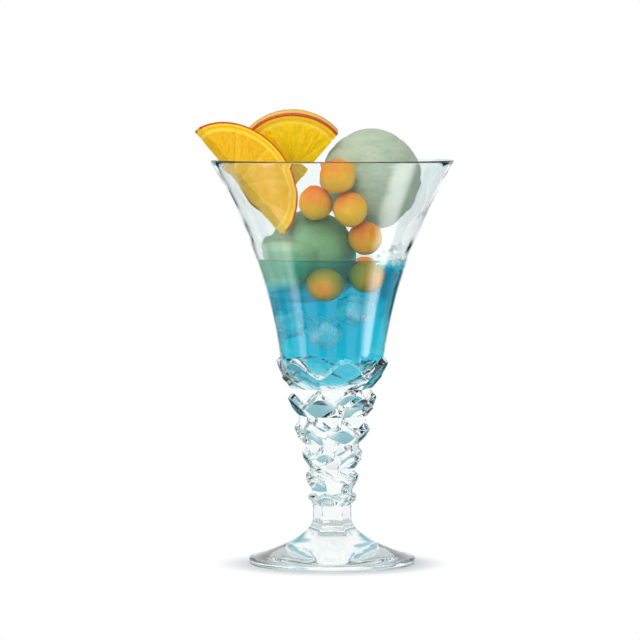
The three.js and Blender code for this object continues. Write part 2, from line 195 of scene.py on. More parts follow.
class Shade:
    """A socket in a node tree. Python operators on a value or a vector add the nodes that work them out."""

    def __init__(self, tree, socket):
        self.tree = tree
        self.socket = socket

    def _apply(self, operation, first, second):
        vector = any(isinstance(term, Shade) and term.socket.type == "VECTOR" for term in (first, second))
        kind = "ShaderNodeVectorMath" if vector else "ShaderNodeMath"
        return self.tree.node(kind, {"operation": operation}, {0: first, 1: second})

    def __add__(self, other):
        return self._apply("ADD", self, other)

    def __radd__(self, other):
        return self._apply("ADD", other, self)

    def __sub__(self, other):
        return self._apply("SUBTRACT", self, other)

    def __rsub__(self, other):
        return self._apply("SUBTRACT", other, self)

    def __mul__(self, other):
        return self._apply("MULTIPLY", self, other)

    def __rmul__(self, other):
        return self._apply("MULTIPLY", other, self)

    def __truediv__(self, other):
        return self._apply("DIVIDE", self, other)

    def __abs__(self):
        return self.tree.math("ABSOLUTE", self)


def find_socket(sockets, key):
    """A socket by its place, its identifier or its name."""
    if isinstance(key, int):
        return sockets[key]
    return next(socket for socket in sockets if key in (socket.identifier, socket.name))


class Finish:
    """The node tree of a material or of the world, while it is built."""

    def __init__(self, owner):
        owner.use_nodes = True
        self.owner = owner
        self.tree = owner.node_tree
        self.tree.nodes.clear()

    def node(self, kind, settings=None, inputs=None, output=0):
        """Adds a node: its settings first, then the values or links of its sockets."""
        made = self.tree.nodes.new(kind)
        for name, value in (settings or {}).items():
            setattr(made, name, value)
        for key, value in (inputs or {}).items():
            self.feed(find_socket(made.inputs, key), value)
        return Shade(self, find_socket(made.outputs, output)) if made.outputs else None

    def feed(self, socket, value):
        """Links a socket to a shade, or sets its value. A single number fills every part of it."""
        if isinstance(value, Shade):
            self.tree.links.new(value.socket, socket)
        elif socket.type in ("RGBA", "VECTOR"):
            parts = tuple(value) if hasattr(value, "__len__") else (value,) * 3
            socket.default_value = (*parts, 1.0) if socket.type == "RGBA" else parts
        else:
            socket.default_value = value

    def math(self, operation, *terms):
        return self.node("ShaderNodeMath", {"operation": operation}, dict(enumerate(terms)))

    def mix(self, factor, first, second):
        inputs = {"Factor_Float": factor, "A_Color": first, "B_Color": second}
        return self.node("ShaderNodeMix", {"data_type": "RGBA"}, inputs, "Result_Color")

    def step(self, value, low, high):
        """A soft step from 0 to 1 as value goes from low to high."""
        settings = {"interpolation_type": "SMOOTHSTEP"}
        inputs = {"Value": value, "From Min": low, "From Max": high}
        return self.node("ShaderNodeMapRange", settings, inputs)

    def noise(self, where, scale, detail=2.0, roughness=0.5):
        inputs = {"Vector": where, "Scale": scale, "Detail": detail, "Roughness": roughness}
        return self.node("ShaderNodeTexNoise", None, inputs)

    def cells(self, where, scale, feature="F1"):
        inputs = {"Vector": where, "Scale": scale}
        return self.node("ShaderNodeTexVoronoi", {"feature": feature}, inputs, "Distance")

    def place(self):
        """Where a point is, in the frame of its own piece."""
        return self.node("ShaderNodeAttribute", {"attribute_name": OWN_FRAME}, None, "Vector")

    def depth(self):
        """How far a point is below the skin of the fruit."""
        return self.node("ShaderNodeAttribute", {"attribute_name": SKIN_DEPTH}, None, "Fac")

    def parts(self, vector):
        """The X, Y and Z of a vector."""
        split = self.node("ShaderNodeSeparateXYZ", None, {"Vector": vector}).socket.node
        return [Shade(self, socket) for socket in split.outputs]

    def bump(self, height, distance, strength=1.0):
        inputs = {"Height": height, "Distance": distance, "Strength": strength}
        return self.node("ShaderNodeBump", None, inputs, "Normal")

    def principled(self, **inputs):
        """A Principled shader. Socket names are written with underscores for spaces."""
        named = {name.replace("_", " "): value for name, value in inputs.items()}
        return self.node("ShaderNodeBsdfPrincipled", None, named)

    def either(self, first, second):
        return self.math("MAXIMUM", first, second)

    def seen_by(self, *rays):
        """1 for these kinds of rays and 0 for others."""
        kinds = [self.node("ShaderNodeLightPath", None, None, f"Is {ray} Ray") for ray in rays]
        return functools.reduce(self.either, kinds)

    def mix_surfaces(self, factor, first, second):
        return self.node("ShaderNodeMixShader", None, {0: factor, 1: first, 2: second})

    def let_lamps_through(self, surface, tint):
        """Light from the lamps and the soft light between pieces go straight through the surface."""
        clear = self.node("ShaderNodeBsdfTransparent", None, {"Color": tint})
        return self.mix_surfaces(self.seen_by("Shadow", "Diffuse"), surface, clear)

    def show(self, **shaders):
        """Ends the tree of a material or a world with its output."""
        self.node(f"ShaderNodeOutput{type(self.owner).__name__}", None, shaders)
        return self.owner


def new_finish(name):
    return Finish(bpy.data.materials.new(name))


# Meshes

def blend(first, second, amount):
    return first + (second - first) * amount


def smooth(low, high, value):
    """A soft step from 0 to 1 as value goes from low to high."""
    t = max(0, min(1, (value - low) / (high - low)))
    return t * t * (3 - 2 * t)


def polar(radius, turn, height=0.0):
    """The point at a distance from the Z axis, at an angle round it and at a height."""
    return Vector((radius * math.cos(turn), radius * math.sin(turn), height))


def ring_skin(rings):
    """Vertices and faces of a skin over stacked rings, where a ring of one point closes it."""
    verts, faces, starts = [], [], []
    for ring in rings:
        starts.append(len(verts))
        verts.extend(ring)
    for low, high, a, b in zip(rings, rings[1:], starts, starts[1:]):
        count = max(len(low), len(high))
        for i in range(count):
            j = (i + 1) % count
            if len(low) == 1:
                faces.append((a, b + j, b + i))
            elif len(high) == 1:
                faces.append((a + i, a + j, b))
            else:
                faces.append((a + i, a + j, b + j, b + i))
    return verts, faces


def object_of(name, points, own, faces, finish):
    """Makes a smooth object. Where its points are in its own frame stays with them for its finish."""
    mesh = bpy.data.meshes.new(name)
    mesh.from_pydata(points, [], faces)
    frames = mesh.attributes.new(OWN_FRAME, "FLOAT_VECTOR", "POINT")
    frames.data.foreach_set("vector", [part for vert in own for part in vert])
    mesh.validate()
    mesh.shade_smooth()
    mesh.materials.append(finish)
    made = bpy.data.objects.new(name, mesh)
    bpy.context.scene.collection.objects.link(made)
    return made


def piece_of(name, verts, faces, finish, body, nodes=(), sharp=math.pi, place=Matrix()):
    """Makes a piece from a mesh in its own frame, which goes to its place, and sets it on its body.
    Its edges are creased where they turn by more than the sharp angle."""
    piece = object_of(name, [place @ Vector(vert) for vert in verts], verts, faces, finish)
    piece.data.set_sharp_from_angle(angle=sharp)
    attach(piece, body)
    if nodes:
        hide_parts(*nodes)
    return piece


def points_and_faces(shape):
    """The points and faces of a bmesh, which is then freed."""
    shape.verts.index_update()
    points = [vert.co.copy() for vert in shape.verts]
    faces = [[vert.index for vert in face.verts] for face in shape.faces]
    shape.free()
    return points, faces


def round_ball(divisions):
    """Directions and faces of a finely divided ball."""
    ball = bmesh.new()
    bmesh.ops.create_icosphere(ball, subdivisions=divisions, radius=1)
    points, faces = points_and_faces(ball)
    return [point.normalized() for point in points], faces


# Pressed glass

COLUMNS = 192
FILLET_STEPS = 4
ARC_STEPS = 5
FLARE_RINGS = 18
WALL_RINGS = 36
FLOOR_RINGS = 14
RIM_ROUND = 0.55 * MM
CREASE = math.radians(32)


def turned_ring(shape):
    """A ring of points from a radius and a height that may vary with the angle."""
    points = []
    for column in range(COLUMNS):
        turn = math.tau * column / COLUMNS
        radius, height = shape(turn)
        points.append(polar(radius, turn, height))
    return points


def round_rings(profile):
    """Round rings along a profile of radii and heights. A radius of 0 is a single point."""
    return [turned_ring(lambda _, p=p: p) if p[0] else [Vector((0, 0, p[1]))] for p in profile]


def flats(apothem, centre, rounding):
    """The radius at an angle of an outline with one flat for each petal and rounded corners."""
    inner = apothem - rounding
    tangent = math.atan2(inner * math.tan(PITCH / 2), apothem)
    corner = inner / math.cos(PITCH / 2)

    def radius(turn):
        off = abs((turn - centre + PITCH / 2) % PITCH - PITCH / 2)
        if off <= tangent:
            return apothem / math.cos(off)
        past = PITCH / 2 - off
        return corner * math.cos(past) + math.sqrt(rounding ** 2 - (corner * math.sin(past)) ** 2)

    return radius


def arc(centre, radius, start, end):
    """Points of an arc in the plane of radius and height, with angles in degrees."""
    turns = (math.radians(blend(start, end, i / ARC_STEPS)) for i in range(ARC_STEPS + 1))
    return [(centre[0] + radius * math.cos(t), centre[1] + radius * math.sin(t)) for t in turns]


class Bowl:
    """The walls of the bowl, worked out from the sizes of the glass."""

    def __init__(self, sizes):
        self.sizes = sizes
        self.foot = sizes.calyx_base + (CALYX.rise + CALYX.step) * MM
        height = sizes.rim_height - self.foot
        self.flare = (sizes.rim_radius - sizes.base_radius - sizes.base_slope * height) / height ** 2
        self.thinning = (sizes.base_wall - sizes.rim_wall) / height
        self.lean = math.atan(sizes.base_slope + 2 * self.flare * height)
        self.lip = sizes.rim_height - RIM_ROUND * (1 + math.sin(self.lean))

    def outer(self, z):
        up = z - self.foot
        return self.sizes.base_radius + self.sizes.base_slope * up + self.flare * max(0, up) ** 2

    def inner(self, z):
        """The radius of the room inside the bowl, on its rounded floor too."""
        up = z - self.foot
        if up < 0:
            base = self.sizes.base_radius - self.sizes.base_wall
            return base * math.sqrt(max(0, 1 - (up / self.sizes.floor_depth) ** 2))
        return self.outer(z) - self.sizes.base_wall + self.thinning * up

    def cavity(self, gap, top):
        """The inside of the bowl from the middle of its floor up to a height, moved inwards by a gap."""
        profile = []
        for step in range(FLOOR_RINGS):
            turn = step / FLOOR_RINGS * math.pi / 2
            radius = (self.inner(self.foot) - gap) * math.sin(turn)
            profile.append((radius, self.foot - (self.sizes.floor_depth - gap) * math.cos(turn)))
        for step in range(WALL_RINGS + 1):
            z = blend(self.foot, top, step / WALL_RINGS)
            profile.append((self.inner(z) - gap, z))
        return profile


def petal_rings(tier, base, centre, core, sizes):
    """The arched tips of a tier of petals with a rounded edge, and their bevel, which ends on the core above.
    The core gives its radius at an angle and a height."""
    columns = []
    base_outline = flats(tier.base * MM, centre, sizes.corner_round)
    for column in range(COLUMNS):
        turn = math.tau * column / COLUMNS
        off = (turn - centre + PITCH / 2) % PITCH - PITCH / 2
        arch = (1 + math.cos(off * PETALS)) / 2
        rise = tier.rise - tier.notch * (1 - arch)
        apothem = blend(tier.base, tier.tip, rise / tier.rise) * MM
        top = base + (rise + tier.step / 2) * MM
        tip = Vector((flats(apothem, centre, sizes.corner_round)(turn), base + rise * MM))
        root = Vector((base_outline(turn), base))
        crown = Vector((core(turn, top), top))
        start = tip + (root - tip).normalized() * sizes.edge_round
        end = tip + (crown - tip).normalized() * sizes.edge_round
        points = []
        for step in range(FILLET_STEPS + 1):
            t = step / FILLET_STEPS
            points.append(blend(blend(start, tip, t), blend(tip, end, t), t))
        points.append(crown)
        columns.append([polar(point.x, turn, point.y) for point in points])
    return [list(ring) for ring in zip(*columns)]


def foot_rings(sizes):
    """Flat underside, rounded edge, and a hollow flare that turns from round into the flats of the neck."""
    neck = flats(sizes.neck_apothem, FRONT, sizes.corner_round)
    edge, rounding = sizes.foot_radius - sizes.foot_round, sizes.foot_round
    profile = [(0, 0)]
    profile += arc((edge, rounding), rounding, -90, 0)
    profile += arc((edge, sizes.foot_edge - rounding), rounding, 0, 90)
    rings = round_rings(profile)
    flare = sizes.foot_radius - sizes.flare_inset - sizes.neck_apothem
    for step in range(FLARE_RINGS + 1):
        up = step / FLARE_RINGS
        z = sizes.foot_edge + sizes.flare_height * up
        rings.append(turned_ring(lambda turn: (
            blend(sizes.neck_apothem, neck(turn), up) + flare * (1 - up) ** 2, z)))
    return rings


def stem_rings(sizes, bowl):
    """The tiers of petals of the stem and of the bowl, each turned by half a petal from its neighbours."""
    tiers = (*STEM_TIERS, CALYX)
    calyx_centre = FRONT + sizes.petal_turn
    centres = [calyx_centre + (len(STEM_TIERS) - i) % 2 * PITCH / 2 for i in range(len(tiers))]
    outlines = [flats(tier.base * MM, centre, sizes.corner_round) for tier, centre in zip(tiers, centres)]
    outlines[0] = flats(sizes.neck_apothem, FRONT, sizes.corner_round)
    rings = []
    z = sizes.stem_base
    for i, tier in enumerate(tiers):
        def core(turn, height, above=i + 1):
            return outlines[above](turn) if above < len(outlines) else bowl.outer(height)
        rings.append(turned_ring(lambda turn: (outlines[i](turn), z)))
        rings.extend(petal_rings(tier, z, centres[i], core, sizes))
        z += (tier.rise + tier.step) * MM
    return rings


def wall_rings(sizes, bowl):
    """The outside of the bowl, its rounded rim and its inside down to the middle of the floor."""
    heights = (blend(bowl.foot, bowl.lip, step / WALL_RINGS) for step in range(WALL_RINGS))
    profile = [(bowl.outer(z), z) for z in heights]
    lean = math.degrees(bowl.lean)
    in_by, top = RIM_ROUND * math.cos(bowl.lean), sizes.rim_height - RIM_ROUND
    inner_lip = 2 * top - bowl.lip
    profile += arc((bowl.outer(bowl.lip) - in_by, top), RIM_ROUND, -lean, 90)
    profile += arc((bowl.inner(inner_lip) + in_by, top), RIM_ROUND, 90, 180 - lean)
    profile += reversed(bowl.cavity(0, inner_lip)[:-1])
    return round_rings(profile)


def glass_finish(colours):
    """Clear glass with the faint waviness that pressing leaves."""
    tree = new_finish("Pressed glass")
    where = tree.place()
    waves = tree.noise(where, 70, 1)
    marks = tree.noise(where, 700, 2)
    surface = tree.principled(
        Base_Color=colours.glass,
        Roughness=0.004 + 0.02 * tree.step(marks, 0.55, 0.8),
        IOR=1.5,
        Transmission_Weight=1.0,
        Normal=tree.bump(waves + 0.02 * marks, 0.25 * MM),
    )
    return tree.show(Surface=tree.let_lamps_through(surface, colours.glass))


def build_glass(sizes, colours):
    bowl = Bowl(sizes)
    rings = foot_rings(sizes) + stem_rings(sizes, bowl) + wall_rings(sizes, bowl)
    verts, faces = ring_skin(rings)
    nodes = ("foot", "stem", "bowl")
    piece_of("pressed_glass", verts, faces, glass_finish(colours), "glass", nodes, CREASE)


# Drink and ice

# The drink reaches into the wall of the glass, so that light goes from one to the other with no air between.
DRINK_OVERLAP = 0.15 * MM
DRINK_DENSITY = 130.0
SURFACE_RINGS = 40
WALL_CROWDING = 1.6
CREEP = 1.3 * MM
BALL_CLIMB = 0.7
RIPPLE = 0.12 * MM
RIPPLE_SCALE = 90
SUNK_MELON = ("melon_ball_5", "melon_ball_6")
BUBBLE_SEED = 7
BUBBLE_DIVISIONS = 3
BUBBLE_ARC = (math.radians(-55), math.radians(45))
BUBBLE_RADII = (0.4 * MM, 1.6 * MM)
BUBBLE_ROOM = 1.15
BUBBLE_SQUASH = (0.8, 1)
FROTH = (-1.5 * MM, 6 * MM)
FROTH_WIDTH = 4 * MM
ICE_TURNS = {"ice_cube_1": (20, 35, 15), "ice_cube_2": (-25, 10, 40), "ice_cube_3": (10, -30, 55)}
ICE_CUTS = 14
ICE_DIMPLE = 0.7 * MM
DIMPLE_REACH = 0.4
ICE_WEAR = 0.45 * MM
ICE_WEAR_SCALE = 350
Ball = namedtuple("Ball", "centre radius")


def node_ball(node):
    """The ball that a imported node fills."""
    low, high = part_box(node)
    return Ball((low + high) / 2, (high.x - low.x) / 2)


def lower_scoop_ball(serving):
    """The scoop in the drink, from the sides of its node that nothing presses into."""
    low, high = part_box("lower_scoop")
    radius = serving.lower_scoop
    return Ball(Vector((low.x + radius, high.y - radius, low.z + radius)), radius)


def top_scoop_ball(serving):
    """The scoop above the rim, from the sides of its node that nothing presses into."""
    _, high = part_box("top_scoop")
    radius = serving.top_scoop
    return Ball(high - Vector((radius,) * 3), radius)


def sunk_balls(serving):
    """What the surface of the drink meets besides the glass."""
    return [lower_scoop_ball(serving), *map(node_ball, SUNK_MELON)]


def drink_height(point, level, meniscus, wall, floats):
    """The surface of the drink, which climbs where it meets the glass and what floats in it."""
    ripple = noise.noise(point * RIPPLE_SCALE) * RIPPLE
    climb = math.exp(-(wall - point.xy.length) / CREEP)
    for ball in floats:
        side = math.sqrt(max(0, ball.radius ** 2 - (level - ball.centre.z) ** 2))
        off = abs((point - ball.centre).xy.length - side)
        climb += BALL_CLIMB * math.exp(-off / CREEP) if side else 0
    return level + ripple + meniscus * min(1, climb)


def drink_finish(colours):
    """A clear blue drink that deepens with its depth."""
    tree = new_finish("Blue drink")
    swirls = tree.noise(tree.place(), 55, 3)
    surface = tree.principled(
        Base_Color=colours.drink,
        Roughness=0.01 + 0.03 * swirls,
        IOR=1.33,
        Transmission_Weight=1.0,
        Normal=tree.bump(swirls, 0.3 * MM),
    )
    inputs = {"Color": colours.drink_depth, "Density": DRINK_DENSITY}
    volume = tree.node("ShaderNodeVolumeAbsorption", None, inputs)
    return tree.show(Surface=tree.let_lamps_through(surface, WHITE), Volume=volume)


def build_drink(sizes, serving, colours):
    bowl = Bowl(sizes)
    level = serving.drink_level
    floats = sunk_balls(serving)
    profile = bowl.cavity(-DRINK_OVERLAP, level + serving.meniscus)
    rings = round_rings(profile[:-1])
    wall = profile[-1][0]
    for step in range(SURFACE_RINGS):
        radius = wall * (1 - (step / SURFACE_RINGS) ** WALL_CROWDING)

        def surface(turn):
            point = polar(radius, turn, level)
            return radius, drink_height(point, level, serving.meniscus, wall, floats)

        rings.append(turned_ring(surface))
    rings.append([Vector((0, 0, level))])
    verts, faces = ring_skin(rings)
    piece_of("blue_drink", verts, faces, drink_finish(colours), "glass", ("drink",), CREASE)


def bubble_finish(colours):
    """White froth of small bubbles."""
    tree = new_finish("Bubbles")
    grain = tree.noise(tree.place(), 900)
    surface = tree.principled(
        Base_Color=tree.mix(0.5 * grain, WHITE, colours.ice),
        Roughness=0.05 + 0.1 * grain,
        IOR=1.2,
        Transmission_Weight=0.5,
    )
    return tree.show(Surface=tree.let_lamps_through(surface, WHITE))


def build_bubbles(sizes, serving, colours):
    """Bubbles that gather against the right of the glass at the surface of the drink."""
    bowl = Bowl(sizes)
    dice = random.Random(BUBBLE_SEED)
    ways, ball_faces = round_ball(BUBBLE_DIVISIONS)
    verts, faces = [], []
    for _ in range(serving.bubbles):
        radius = blend(*BUBBLE_RADII, dice.random() ** 2)
        off = dice.triangular(-1, 1)
        z = serving.drink_level + blend(*FROTH, (1 - abs(off)) * dice.random())
        turn = blend(*BUBBLE_ARC, (1 + off) / 2)
        room = radius * BUBBLE_ROOM + serving.clearance
        centre = polar(bowl.inner(z) - room - dice.random() ** 2 * FROTH_WIDTH, turn, z)
        squash = Vector((1, 1, dice.uniform(*BUBBLE_SQUASH)))
        start = len(verts)
        verts.extend(centre + way * squash * radius for way in ways)
        faces.extend([start + i for i in face] for face in ball_faces)
    piece_of("drink_bubbles", verts, faces, bubble_finish(colours), "glass")


def ice_finish(colours):
    """Ice with a cloudy core and fine cracks."""
    tree = new_finish("Ice")
    where = tree.place()
    cloud = tree.noise(where, 160, 5, 0.6)
    cracks = 1 - tree.step(tree.cells(where, 190, "DISTANCE_TO_EDGE"), 0.0, 0.06)
    surface = tree.principled(
        Base_Color=tree.mix(tree.step(cloud, 0.35, 0.6), colours.ice, WHITE),
        Roughness=0.05 + 0.3 * tree.step(cloud, 0.45, 0.7),
        IOR=1.2,
        Transmission_Weight=0.75,
        Normal=tree.bump(cloud + 0.3 * cracks, 0.5 * MM),
    )
    return tree.show(Surface=tree.let_lamps_through(surface, colours.ice))


def worn_cube(size, rounding):
    """A cube with rounded edges, dished faces and a worn surface."""
    cube = bmesh.new()
    bmesh.ops.create_cube(cube, size=size)
    bmesh.ops.subdivide_edges(cube, edges=cube.edges[:], cuts=ICE_CUTS, use_grid_fill=True)
    corners, faces = points_and_faces(cube)
    half = size / 2
    core = half - rounding
    verts = []
    for corner in corners:
        inner = Vector(max(-core, min(core, part)) for part in corner)
        point = inner + (corner - inner).normalized() * rounding
        middle = max(0, 1 - (point.length / half - 1) / DIMPLE_REACH)
        point *= 1 - ICE_DIMPLE / half * min(1, middle) ** 2
        verts.append(point + point.normalized() * noise.noise(point * ICE_WEAR_SCALE) * ICE_WEAR)
    return verts, faces


def kept_clear(point, bowl, balls, gap):
    """Moves a point off the balls and inside the walls of the bowl."""
    for ball in balls:
        way = point - ball.centre
        if way.length < ball.radius + gap:
            point = ball.centre + way.normalized() * (ball.radius + gap)
    room = bowl.inner(point.z) - gap
    off = point.xy.length
    if off > room:
        point = Vector((point.x * room / off, point.y * room / off, point.z))
    return point


def build_ice(sizes, serving, colours):
    bowl = Bowl(sizes)
    finish = ice_finish(colours)
    balls = sunk_balls(serving)
    cube, faces = worn_cube(serving.ice_size, serving.ice_round)
    for node, turn in ICE_TURNS.items():
        low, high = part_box(node)
        turned = Euler([math.radians(part) for part in turn], "ZYX").to_matrix()
        centre = (low + high) / 2
        verts = [kept_clear(centre + turned @ vert, bowl, balls, serving.clearance) for vert in cube]
        piece_of(node.replace("cube", "block"), verts, faces, finish, "glass", (node,))


# Ice cream

SOFT_DEPTH = 2 * MM
PIT_EDGE = (0.08, 0.4)
SCOOP_DIVISIONS = 6
FACET_SHARE = 0.97
SCOOP_TEAR = 0.9 * MM
PRESSED_TEAR = 0.25
TEAR_SCALE = 70
TEAR_FLATTENED = 2.6
TEAR_FRACTAL = (1, 2, 4)
SCOOP_GRAIN = 0.18 * MM
GRAIN_SCALE = 900
MELT_WAY = Vector((-0.9, -0.42)).normalized()
MELT_SPREAD = (0.2, 0.9)
MELT_BELOW = -9 * MM
MELT_ABOVE = 3 * MM
MELT_FADE = 13 * MM
MELT_STEP = 0.5 * MM
SOAK = (-13 * MM, -5 * MM)
SOAK_RAGGED = 5 * MM
PALER = (-24 * MM, -6 * MM)


def packed_tree(node):
    """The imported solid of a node, for casting rays at it."""
    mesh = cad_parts[node].data
    return BVHTree.FromPolygons([v.co for v in mesh.vertices], [p.vertices for p in mesh.polygons])


def wall_distance(start, way, bowl, gap):
    """How far it is from a point to the wall of the bowl, felt for in small steps up to the rim's radius."""
    reach = 0
    while reach < bowl.sizes.rim_radius:
        point = start + way * reach
        if point.xy.length > bowl.inner(min(point.z, bowl.lip)) - gap:
            return reach
        reach += MELT_STEP
    return reach


def mint_finish(name, mint, level, colours):
    """Mint ice cream with fine crystals and the torn bands that a scoop leaves, painted darker in their hollows
    and pits as painted shade. It is paler at its left, and stained by the drink below its level, painted paler
    there for light."""
    tree = new_finish(name)
    where = tree.place()
    x, _, z = tree.parts(where)
    ragged = tree.noise(where, 60, 2)
    # Below the drink the ice cream takes the stain, which is painted paler as painted light.
    under_drink = 1 - tree.step(z - level + SOAK_RAGGED * ragged, *SOAK)
    paler = tree.step(x + SOAK_RAGGED * ragged, *PALER)
    torn = tree.noise(where * (1, 1, TEAR_FLATTENED), 120, 5, 0.6)
    grain = tree.noise(where, 1100, 3, 0.6)
    pits = 1 - tree.step(tree.cells(where, 380), *PIT_EDGE)
    hollow = 1 - tree.step(torn, 0.34, 0.6)
    # Painted shade: the hollows and pits of the bump are painted darker.
    cream = tree.mix(0.35 * hollow + 0.15 * pits, mint, colours.mint_deep)
    cream = tree.mix(paler, colours.melted, cream)
    surface = tree.principled(
        Base_Color=tree.mix(under_drink, cream, colours.stain),
        Roughness=0.42 + 0.3 * grain - 0.12 * hollow,
        Specular_IOR_Level=0.3,
        Subsurface_Weight=0.2,
        Subsurface_Radius=(0.8, 1.0, 0.9),
        Subsurface_Scale=SOFT_DEPTH,
        Normal=tree.bump(torn + 0.25 * grain - 0.2 * pits, 0.4 * MM),
    )
    return tree.show(Surface=surface)


def scooped(ball, node, melt):
    """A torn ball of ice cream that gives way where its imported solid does. It melts outwards by melt(way)."""
    ways, faces = round_ball(SCOOP_DIVISIONS)
    tree = packed_tree(node)
    verts = []
    for way in ways:
        reach = tree.ray_cast(ball.centre, way)[3] or ball.radius
        pressed = reach < FACET_SHARE * ball.radius
        point = ball.centre + way * ball.radius
        bands = noise.fractal(point * Vector((1, 1, TEAR_FLATTENED)) * TEAR_SCALE, *TEAR_FRACTAL)
        grains = noise.noise(point * GRAIN_SCALE)
        tear = SCOOP_TEAR * (0.5 + 0.5 * bands) + SCOOP_GRAIN * grains
        spread = reach if pressed else ball.radius + melt(way)
        verts.append(ball.centre + way * (spread - max(0, tear) * (PRESSED_TEAR if pressed else 1)))
    return verts, faces


def build_scoops(sizes, serving, colours):
    bowl = Bowl(sizes)
    low, top = lower_scoop_ball(serving), top_scoop_ball(serving)

    def melt(way):
        """The scoop runs out to the wall on its left, in a band about the surface of the drink."""
        room = max(0, wall_distance(low.centre, way, bowl, serving.clearance) - low.radius)
        up = low.centre.z + way.z * (low.radius + room) - serving.drink_level
        above = smooth(MELT_BELOW - MELT_FADE, MELT_BELOW, up)
        below = 1 - smooth(MELT_ABOVE, MELT_ABOVE + MELT_FADE, up)
        return room * above * below * smooth(*MELT_SPREAD, way.xy.normalized().dot(MELT_WAY))

    verts, faces = scooped(low, "lower_scoop", melt)
    # The lower scoop gets the darker mint colour, which is painted shade.
    finish = mint_finish("Shaded mint ice cream", colours.low_mint, serving.drink_level, colours)
    piece_of("mint_scoop_low", verts, faces, finish, "glass", ("lower_scoop",))
    verts, faces = scooped(top, "top_scoop", lambda way: 0)
    finish = mint_finish("Mint ice cream", colours.top_mint, serving.drink_level, colours)
    piece_of("mint_scoop_top", verts, faces, finish, "top_scoop", ("top_scoop",))


# Melon balls

MELON_DIVISIONS = 5
MELON_WEAR = 0.28 * MM
MELON_WEAR_SCALE = 3.5
MELON_CUT = 0.93
MELON_CUT_ROUND = 0.03
MELON_TURN = 0.5
MELON_RED_AND_SHADE_SPREAD = 8 * MM
MELON_SEED = 11
MELON_FIBRE = (1, 0.72, 0.05)
MELON_BODIES = {1: "melon_top", 2: "melon_top", 3: "melon_top", 4: "glass", 5: "glass", 6: "glass"}


def melon_finish(name, melon, colours):
    """Wet melon flesh with fibres. It is redder and darker towards its top left, partly its own colour and
    partly painted shade.
    """
    tree = new_finish(name)
    where = tree.place()
    x, _, z = tree.parts(where)
    fibres = tree.noise(where * (1, 1, 0.25), 1500, 3, 0.6)
    uneven_red_and_shade = tree.noise(where, 90, 2)
    veins = tree.step(tree.cells(where * (1, 1, 0.4), 420), 0.1, 0.6)
    # Painted shade: the top left is painted redder and darker, partly the melon's own colour and partly
    # standing in for shade.
    redder_and_shaded = tree.step((z - 0.6 * x) / MELON_RED_AND_SHADE_SPREAD + 0.9 * (uneven_red_and_shade - 0.5), -0.2, 1.4)
    flesh = tree.mix(redder_and_shaded, melon, colours.melon_deep)
    surface = tree.principled(
        Base_Color=tree.mix(0.15 * fibres * veins, flesh, MELON_FIBRE),
        Roughness=0.3 + 0.25 * fibres,
        Specular_IOR_Level=0.15,
        Subsurface_Weight=0.15,
        Subsurface_Radius=(1.0, 0.5, 0.15),
        Subsurface_Scale=SOFT_DEPTH,
        Coat_Weight=0.06,
        Coat_Roughness=0.12,
        Normal=tree.bump(fibres + 0.4 * veins, 0.18 * MM),
    )
    return tree.show(Surface=surface)


def melon_ball(radius, dice):
    """A cut ball with slightly flattened patches where the cutter turned."""
    ways, faces = round_ball(MELON_DIVISIONS)
    cuts = [Vector([dice.gauss(0, 1) for _ in range(3)]).normalized() for _ in range(3)]
    offset = Vector([dice.uniform(0, 9) for _ in range(3)])
    verts = []
    for way in ways:
        flat = max(way.dot(cut) for cut in cuts)
        reach = min(1, MELON_CUT / flat + MELON_CUT_ROUND) if flat > MELON_CUT else 1
        wear = MELON_WEAR * (0.5 + 0.5 * noise.noise(way * MELON_WEAR_SCALE + offset))
        verts.append(way * (radius * reach - wear))
    return verts, faces


def build_melon(colours):
    fresh = melon_finish("Melon", colours.melon, colours)
    under_drink = melon_finish("Sunk melon light boost", colours.soaked_melon, colours)
    dice = random.Random(MELON_SEED)
    for number, body in MELON_BODIES.items():
        node = f"melon_ball_{number}"
        ball = node_ball(node)
        turn = Euler([dice.uniform(-MELON_TURN, MELON_TURN) for _ in range(3)]).to_matrix().to_4x4()
        verts, faces = melon_ball(ball.radius, dice)
        place = Matrix.Translation(ball.centre) @ turn
        # The balls under the drink get a finish painted redder, as painted light against the drink's
        # absorption.
        finish = under_drink if node in SUNK_MELON else fresh
        piece_of(f"melon_{number}", verts, faces, finish, body, (node,), place=place)


# Orange slices

# A slice has a frame of its own. X runs along the cut, Y points into the slice from the cut, and Z from its
# back face to its front face. The origin is the middle of the whole round. A slice that is more than half of
# it has its cut below the origin by a positive depth, and a smaller one above it by a negative depth.
FRONT_SLOPE = math.radians(49.5)
FRONT_LEAN = math.radians(37.5)
BACK_SLOPE = math.radians(51.5)
BACK_LEAN = math.radians(22)
FRONT_CUT = -6 * MM
BACK_CUT = 6 * MM
SEGMENTS = 10
SEGMENT_PITCH = math.tau / SEGMENTS
SEGMENT_START = 0.3
PEEL_STEPS = 150
FACE_STEPS = 4
RIND_STEPS = 6
PEEL_ROUND = 0.7 * MM
PEEL_PORES = 0.1 * MM
PORE_SCALE = 420
ZEST = 1.15 * MM
SKIN_FROM = 3.4 * MM
SKIN_TO = 4.2 * MM
FLESH_COLUMNS = 150
FLESH_ROWS = 60
PULP_DOME = 0.25 * MM
DOME_EDGE = 2.2 * MM
PULP_GRAIN = 0.16 * MM
GRAIN_LENGTH = 2.2 * MM
CELL_LENGTH = 5 * MM
CELLS_PER_RADIAN = 11
MEMBRANE = 0.32 * MM
CORE = 2.4 * MM
FLESH_CREASE = math.radians(50)
WELD = 0.001 * MM


def upright_slice(slope):
    """The turn of a slice that faces the front, with its cut running down to the right at a slope."""
    along = Vector((math.cos(slope), 0, -math.sin(slope)))
    into = Vector((math.sin(slope), 0, math.cos(slope)))
    return Matrix((along, into, along.cross(into))).transposed()


